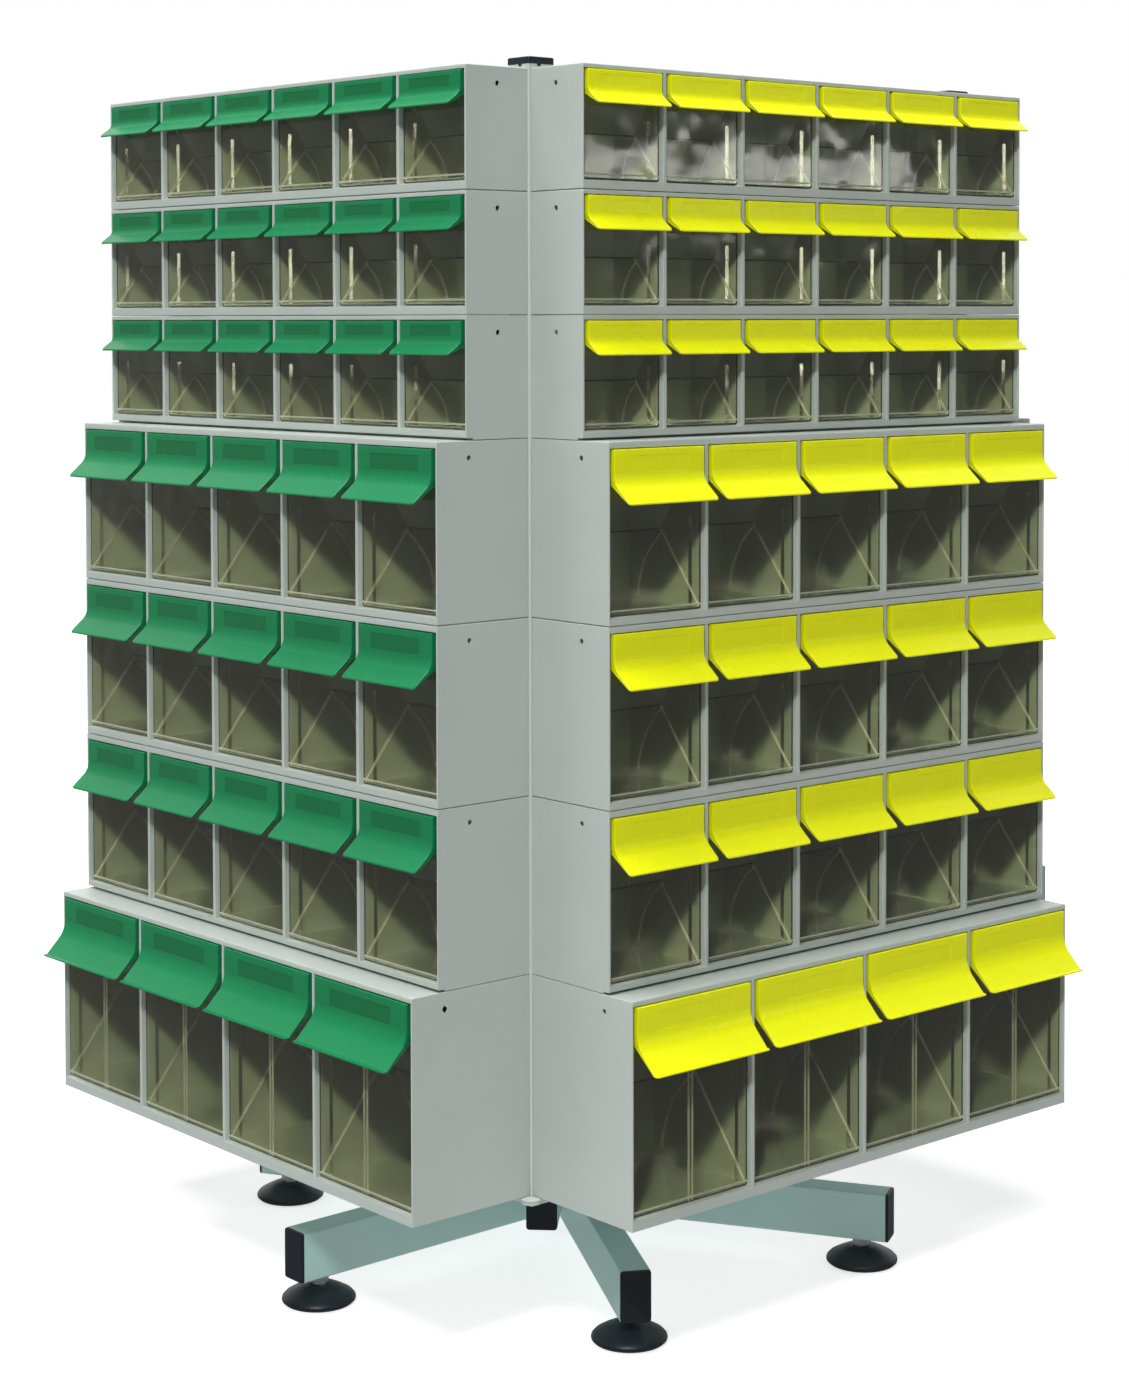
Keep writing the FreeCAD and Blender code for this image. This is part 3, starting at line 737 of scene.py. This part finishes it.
def upright_ridge(bm, sign, inside, low, high):
    """Ridge on the inner face of a side wall, half of a square bar set on its edge."""
    before = set(bm.faces)
    foot = Matrix.Translation((sign * inside, RIDGE_SETBACK, low))
    ring = bmesh.ops.create_circle(bm, cap_ends=True, segments=RIDGE_SIDES, radius=RIDGE_RADIUS,
                                   matrix=foot)["verts"]
    geom = ring + edges_of(ring) + faces_of(ring)
    cut = bmesh.ops.bisect_plane(bm, geom=geom, plane_co=(sign * inside, 0, 0), plane_no=(sign, 0, 0),
                                 clear_outer=True, dist=SAME)["geom_cut"]
    seam = next(v for v in cut if isinstance(v, bmesh.types.BMVert))
    raised(bm, list(seam.link_faces), (0, 0, high - low))
    bmesh.ops.recalc_face_normals(bm, faces=[f for f in bm.faces if f not in before])


def cup(tier):
    """Cup at the middle of its row, closed: X across, the tipping axis along X at its foot."""
    width = tier.pocket_width - 2 * CUP_SIDE_GAP
    height = tier.ceiling - tier.floor - CUP_TOP_GAP - SEAT_GAP
    radius = tier.depth - CUP_RECESS - CUP_REAR_GAP - HOUSING_BACK_WALL
    bm = bmesh.new()
    heel = bm.verts.new((-width / 2, radius, 0))
    bmesh.ops.spin(bm, geom=[heel], cent=(0, 0, 0), axis=(1, 0, 0), angle=CUP_MOUTH_ANGLE,
                   steps=ARC_STEPS)
    crest = max(bm.verts, key=lambda v: v.co.z)
    toe = bm.verts.new((-width / 2, 0, 0))
    brow = bm.verts.new((-width / 2, 0, height))
    for pair in ((heel, toe), (toe, brow), (brow, crest)):
        bm.edges.new(pair)
    bmesh.ops.edgeloop_fill(bm, edges=bm.edges)
    raised(bm, list(bm.faces), (width, 0, 0))
    bmesh.ops.recalc_face_normals(bm, faces=bm.faces)
    mouth = [f for f in bm.faces if f.normal.z > 0.1 and max(v.co.z for v in f.verts) > height - SAME]
    bmesh.ops.delete(bm, geom=mouth, context="FACES_ONLY")
    soften(bm, [e for e in bm.edges if len(e.link_faces) == 2 and e.calc_face_angle() > CUP_FOLD],
           CUP_EDGE)
    bmesh.ops.recalc_face_normals(bm, faces=bm.faces)
    bmesh.ops.solidify(bm, geom=list(bm.faces), thickness=CUP_WALL)
    shell = set(bm.faces)
    inside = width / 2 - CUP_WALL - RIB_GAP
    rear = radius - CUP_WALL - CUP_EDGE
    tilt = Matrix.Rotation(CUP_MOUTH_ANGLE, 4, "X")
    lift = Matrix.Rotation(ARC_RIB_START, 3, "X")
    for sign in (-1, 1):
        crease = block(bm, (-CREASE_PROUD / 2, CREASE_START, -CREASE_WIDTH / 2),
                       (CREASE_PROUD / 2, radius - CUP_EDGE, CREASE_WIDTH / 2))
        shift = Matrix.Translation((sign * (inside - CREASE_PROUD / 2), 0, 0))
        bmesh.ops.transform(bm, matrix=shift @ tilt, verts=crease)
        section = [bm.verts.new(lift @ Vector((sign * x, y, 0)))
                   for x, y in ((inside, rear), (inside, rear - ARC_RIB_WIDTH),
                                (inside - ARC_RIB_PROUD, rear - ARC_RIB_WIDTH),
                                (inside - ARC_RIB_PROUD, rear))]
        face = bm.faces.new(section)
        bmesh.ops.spin(bm, geom=section + list(face.edges) + [face], cent=(0, 0, 0), axis=(1, 0, 0),
                       angle=CUP_MOUTH_ANGLE - ARC_RIB_START, steps=ARC_STEPS)
    bead = block(bm, (-width / 2 + CUP_EDGE, -BEAD_PROUD - RIB_GAP, BEAD_LOW),
                 (width / 2 - CUP_EDGE, -RIB_GAP, BEAD_HIGH))
    crests = along([e for e in edges_of(bead) if e.verts[0].co.y < -BEAD_PROUD], 0)
    soften(bm, crests, BEAD_PROUD * RIB_ROUNDING, 3)
    low, high = CUP_WALL + RIB_GAP, height - CUP_WALL
    for middle in CENTRE_RIBS.get(tier.name, ()):
        rib = block(bm, (middle - CENTRE_RIB_WIDTH / 2, low, low),
                    (middle + CENTRE_RIB_WIDTH / 2, low + CENTRE_RIB_PROUD, high))
        crests = [e for e in along(edges_of(rib), 2)
                  if e.verts[0].co.y > CUP_WALL + CENTRE_RIB_PROUD / 2]
        soften(bm, crests, CENTRE_RIB_PROUD * RIB_ROUNDING, 3)
    for face in bm.faces:
        face.material_index = 0 if face in shell else 1
    for sign in (-1, 1):
        upright_ridge(bm, sign, inside, low, RIDGE_HEIGHT * height)
    return mesh_from(bm, tier.name)


# --- flaps ------------------------------------------------------------------------------------------
# Coloured polypropylene flaps snapped onto the fronts of the cups, with a flat label field at
# the top and a flared grip below. Semi-gloss, with soft corners and a hollow underside.
# The recessed label field is coloured a little darker than the flap: painted shade for its duller gloss.

FLAP_PROUD = 2 * MM
FLAP_SIDE_GAP = 3.3 * MM
FLAP_TOP_GAP = 0.8 * MM
FLAP_WALL = 2 * MM
FLAP_EDGE = 1.8 * MM
FLAP_BEND = 0.42
FLAP_FOLD = math.radians(35)
FLAP_SOFT = 0.6 * MM
LIP_CORNER = 2.6 * MM
LABEL_SIDE = 0.17
LABEL_LOW, LABEL_HIGH = 0.3, 0.8
LABEL_DROP = 0.25 * MM
WEB_WIDTH = 1.6 * MM
WEB_DEPTH = 3.4 * MM
WEB_TIP = 0.5 * MM
GREEN = "#077E4B"
GREEN_SHADE = "#067745"
# Field colours are darker than the flap colours: painted shade in the recessed label field.
GREEN_FIELD_PAINTED_SHADE = "#056B3B"
YELLOW = "#EAEE00"
YELLOW_SHADE = "#E4EA00"
YELLOW_FIELD_PAINTED_SHADE = "#E7EC00"


def flap_colour(name, colour, shade):
    return mottled_finish(name, colour, shade, patch=0.05, grain=0.9 * MM, relief=0.01 * MM,
                          rough=0.27, rough_spread=0.04)


# The second material of each flap is its label field, coloured darker as painted shade.
green_flap = (flap_colour("polypropylene_green", GREEN, GREEN_SHADE),
              flap_colour("polypropylene_green_field", GREEN_FIELD_PAINTED_SHADE, GREEN_FIELD_PAINTED_SHADE))
yellow_flap = (flap_colour("polypropylene_yellow", YELLOW, YELLOW_SHADE),
               flap_colour("polypropylene_yellow_field", YELLOW_FIELD_PAINTED_SHADE, YELLOW_FIELD_PAINTED_SHADE))
FLAP_COLOURS = (("green_plastic", green_flap), ("yellow_plastic", yellow_flap))


def flap(tier):
    """Flap on the front of a cup, in the cup's own frame."""
    width = tier.pocket_width - 2 * FLAP_SIDE_GAP
    top = tier.ceiling - tier.floor - FLAP_TOP_GAP - SEAT_GAP
    face = -CUP_RECESS - FLAP_PROUD
    bend = top - tier.flap_drop
    tip = bend - tier.flare_drop
    reach = face - tier.flare_reach
    slope = tier.flare_drop / (tier.flare_reach - tier.hem)
    under = bend - FLAP_WALL * math.hypot(1.0, slope) - face * slope
    outline = [(-RIB_GAP, top), (face, top), (face, bend), (reach + tier.hem, tip), (reach, tip),
               (reach, tip - FLAP_EDGE), (reach + tier.hem, tip - FLAP_EDGE), (-RIB_GAP, under)]
    if not tier.hem:
        del outline[6], outline[3]
    bm = bmesh.new()
    verts = [bm.verts.new((-width / 2, y, z)) for y, z in outline]
    bm.faces.new(verts)
    raised(bm, list(bm.faces), (width, 0, 0))
    bmesh.ops.recalc_face_normals(bm, faces=bm.faces)
    lip = [e for e in bm.edges if all(abs(v.co.y - reach) < SAME for v in e.verts)
           and abs(e.verts[0].co.x - e.verts[1].co.x) < SAME]
    soften(bm, lip, LIP_CORNER, 3)
    crease = [e for e in along(bm.edges, 0) if all(abs(v.co.z - bend) < SAME for v in e.verts)]
    soften(bm, crease, FLAP_BEND * tier.flare_drop, 5)
    soften(bm, [e for e in bm.edges if e.calc_face_angle_signed() > FLAP_FOLD
                and min(v.co.y for v in e.verts) < -RIB_GAP], FLAP_SOFT)
    half = width * (0.5 - LABEL_SIDE)
    low, high = bend + LABEL_LOW * tier.flap_drop, bend + LABEL_HIGH * tier.flap_drop
    scored(bm, 1, face, 0, (-half, half))
    scored(bm, 1, face, 2, (low, high))
    middle = Vector((0, face, (low + high) / 2))
    label = min(in_plane(bm, 1, face), key=lambda f: (f.calc_center_median() - middle).length)
    bmesh.ops.inset_region(bm, faces=[label], thickness=LABEL_DROP, depth=-LABEL_DROP)
    # The recessed field takes the darker field colour, a painted shade.
    label.material_index = 1
    hollow = max((f for f in bm.faces if f.normal.z < -0.3), key=lambda f: f.calc_area())
    down = hollow.normal.copy()
    border = bmesh.ops.inset_region(bm, faces=[hollow], thickness=WEB_WIDTH)["faces"]
    sides = [f for f in border if abs(f.calc_center_median().x) > width / 2 - WEB_WIDTH]
    webs = bmesh.ops.extrude_discrete_faces(bm, faces=sides)["faces"]
    for vert in once(v for f in webs for v in f.verts):
        near_tip = (vert.co.y - reach) / -reach
        vert.co += down * (WEB_TIP + (WEB_DEPTH - WEB_TIP) * min(1.0, max(0.0, near_tip)))
    return mesh_from(bm, tier.name)


for tier in TIERS:
    cup_mesh, flap_mesh = cup(tier), flap(tier)
    stand = [Matrix.Translation((tier.bin_centre(i), CUP_RECESS - tier.depth, tier.floor + SEAT_GAP))
             for i in range(tier.bins)]
    for row, side in tier.rows_and_sides():
        place = tier.place(row, side)
        flap_slot, colours = FLAP_COLOURS[side % 2]
        if tier.rows == 1:
            groups = [("{}_{}_bin_{}".format(SIDES[side], tier.name, i + 1),
                       "{}_bin_{}".format(SIDES[side], i + 1), [stand[i]]) for i in range(tier.bins)]
        else:
            number = tier.rows - row
            groups = [("{}_{}_bins_row_{}".format(SIDES[side], tier.name, number),
                       "{}_{}_row_{}".format(SIDES[side], tier.name, number), stand)]
        for cad_node, body, stands in groups:
            places = [place @ each for each in stands]
            cups = mesh_from(repeated(cup_mesh, places), cad_node + "_cups", *cup_plastics)
            assemble(cups, body, "clear_plastic", cad_node)
            flaps = mesh_from(repeated(flap_mesh, places), cad_node + "_flaps", *colours)
            assemble(flaps, body, flap_slot, cad_node)

# --- studio --------------------------------------------------------------------------------------------
# A white sweep, a firm key lamp beside the camera, a wide lamp overhead and a soft one on the
# left. A low window on the right and two dim panes in front are there for the cups to mirror.

CAMERA_AZIMUTH = math.radians(48.91)
CAMERA_ELEVATION = math.radians(1.96)
CAMERA_ROLL = math.radians(-0.10)
CAMERA_PLACE = Vector((2.18167, -1.88016, 0.98150))
PICTURE_WIDTH, PICTURE_HEIGHT = 1129, 1400
FOCAL_PIXELS = 2697.78
CENTRE_X, CENTRE_Y = 579.98, 410.79
SENSOR = 36.0
LIT_MIDDLE = Vector((0, 0, 0.6))
RAY_KINDS = ("diffuse", "glossy", "transmission")
AMBIENT = 0.16
ROOM_LEVEL = 0.18
ROOM_BEARING, SWEEP_BEARING = 0.25, 0.8
GROUND_SIZE = 12
GROUND_GREY = "#D0D0D0"
WHITE = "#FFFFFF"
COLUMN_REACH = 0.6
SEEN_REACH, SEEN_NEAR = 2.0, 0.68
BOUNCE_REACH, BOUNCE_NEAR, BOUNCE_FAR = 2.5, 0.9, 0.3

scene = bpy.context.scene
scene.view_settings.view_transform = "Standard"
camera_data = bpy.data.cameras.new("camera")
camera_data.sensor_width = SENSOR
camera_data.lens = FOCAL_PIXELS / PICTURE_HEIGHT * SENSOR
camera_data.shift_x = (PICTURE_WIDTH / 2 - CENTRE_X) / PICTURE_HEIGHT
camera_data.shift_y = (CENTRE_Y - PICTURE_HEIGHT / 2) / PICTURE_HEIGHT
camera_data.clip_start, camera_data.clip_end = 0.1, 100
camera = bpy.data.objects.new("camera", camera_data)
scene.collection.objects.link(camera)
turn = (Matrix.Rotation(CAMERA_AZIMUTH, 4, "Z") @ Matrix.Rotation(math.pi / 2 - CAMERA_ELEVATION, 4, "X")
        @ Matrix.Rotation(CAMERA_ROLL, 4, "Z"))
camera.matrix_world = Matrix.Translation(CAMERA_PLACE) @ turn
scene.camera = camera


def lamp(name, azimuth, elevation, distance, width, height, watts, rays=RAY_KINDS):
    """Area lamp that looks at the middle of the column and reaches some kinds of ray only.

    Angles are in degrees, the distance and the size in metres.
    """
    data = bpy.data.lights.new(name, "AREA")
    data.shape = "RECTANGLE"
    data.size, data.size_y = width, height
    data.energy = watts
    made = bpy.data.objects.new(name, data)
    scene.collection.objects.link(made)
    a, e = math.radians(azimuth), math.radians(elevation)
    out = Vector((math.sin(a) * math.cos(e), -math.cos(a) * math.cos(e), math.sin(e)))
    made.location = LIT_MIDDLE + out * distance
    made.rotation_mode = "QUATERNION"
    made.rotation_quaternion = out.to_track_quat("Z", "Y")
    made.visible_camera = False
    for kind in RAY_KINDS:
        setattr(made, "visible_" + kind, kind in rays)
    if "diffuse" not in rays:
        data.use_nodes = True
        tree = data.node_tree
        path = node(tree, "ShaderNodeLightPath")
        straight = node(tree, "ShaderNodeMath", {0: path.outputs["Diffuse Depth"], 1: 0.5},
                        operation="LESS_THAN")
        tree.links.new(straight.outputs[0], tree.nodes["Emission"].inputs["Strength"])


lamp("key", 41, 35, 7.0, 0.5, 0.5, 240)
lamp("overhead", 0, 80, 9.0, 5.4, 5.4, 1150)
lamp("left_fill", -30, 5, 5.0, 2.5, 2.5, 38, rays=("diffuse",))
lamp("right_window", 128.5, 10.8, 3.6, 0.8, 0.1, 0.8)
lamp("left_pane", 30.7, 10.2, 3.6, 0.66, 0.72, 28, rays=("transmission",))
lamp("right_pane", 52.3, 10.2, 3.6, 0.85, 0.72, 36, rays=("transmission",))


def white_for(path, tree, ambient, behind):
    """Emission level: white to the camera, what lies behind to glass and mirrors, else ambient."""
    straight = node(tree, "ShaderNodeMath", {0: path.outputs["Diffuse Depth"], 1: 0.5},
                    operation="LESS_THAN")
    clear = node(tree, "ShaderNodeMath", {0: path.outputs["Is Glossy Ray"],
                                          1: path.outputs["Is Transmission Ray"]}, operation="MAXIMUM")
    mirrored = node(tree, "ShaderNodeMath", {0: clear.outputs[0], 1: straight.outputs[0]},
                    operation="MULTIPLY")
    level = node(tree, "ShaderNodeMapRange", {0: mirrored.outputs[0], 3: ambient, 4: behind})
    return node(tree, "ShaderNodeMath", {0: path.outputs["Is Camera Ray"], 1: level.outputs[0]},
                operation="MAXIMUM").outputs[0]


def away_from_camera(tree, coordinate):
    """Rises from a dark room in front of the object to the white sweep behind it."""
    ahead = camera.matrix_world.to_3x3() @ Vector((0, 0, -1))
    place = node(tree, "ShaderNodeTexCoord").outputs[coordinate]
    bearing = node(tree, "ShaderNodeVectorMath", {0: place}, operation="NORMALIZE")
    along_view = node(tree, "ShaderNodeVectorMath", {0: bearing.outputs[0], 1: ahead},
                      operation="DOT_PRODUCT")
    return node(tree, "ShaderNodeMapRange", {0: along_view.outputs["Value"], 1: ROOM_BEARING,
                                             2: SWEEP_BEARING, 3: ROOM_LEVEL, 4: 1.0}).outputs[0]


floor_white = empty_material("white_sweep")
tree = floor_white.node_tree
path = node(tree, "ShaderNodeLightPath")
matt = node(tree, "ShaderNodeBsdfDiffuse", {"Color": linear(GROUND_GREY)})
distance = node(tree, "ShaderNodeVectorMath", {0: node(tree, "ShaderNodeTexCoord").outputs["Object"]},
                operation="LENGTH")
lift = node(tree, "ShaderNodeMapRange", {0: distance.outputs["Value"], 1: COLUMN_REACH,
                                         2: SEEN_REACH, 3: SEEN_NEAR, 4: 1.0})
glow = node(tree, "ShaderNodeEmission", {"Color": linear(WHITE), "Strength": lift.outputs[0]})
seen = node(tree, "ShaderNodeAddShader", {0: matt.outputs[0], 1: glow.outputs[0]})
near = node(tree, "ShaderNodeMapRange", {0: distance.outputs["Value"], 1: COLUMN_REACH,
                                         2: BOUNCE_REACH, 3: BOUNCE_NEAR, 4: BOUNCE_FAR})
white = white_for(path, tree, near.outputs[0], away_from_camera(tree, "Object"))
bounce = node(tree, "ShaderNodeEmission", {"Color": linear(WHITE), "Strength": white})
surface = node(tree, "ShaderNodeMixShader", {0: path.outputs["Is Camera Ray"], 1: bounce.outputs[0],
                                             2: seen.outputs[0]})
node(tree, "ShaderNodeOutputMaterial", {"Surface": surface.outputs[0]})
bm = bmesh.new()
bmesh.ops.create_grid(bm, x_segments=4, y_segments=4, size=GROUND_SIZE)
ground = bpy.data.meshes.new("ground")
bm.to_mesh(ground)
bm.free()
ground.materials.append(floor_white)
sweep = bpy.data.objects.new("ground", ground)
scene.collection.objects.link(sweep)

world = bpy.data.worlds.new("studio")
scene.world = world
world.use_nodes = True
tree = world.node_tree
tree.nodes.clear()
path = node(tree, "ShaderNodeLightPath")
white = white_for(path, tree, AMBIENT, away_from_camera(tree, "Generated"))
sky = node(tree, "ShaderNodeBackground", {"Color": linear(WHITE), "Strength": white})
node(tree, "ShaderNodeOutputWorld", {"Surface": sky.outputs[0]})
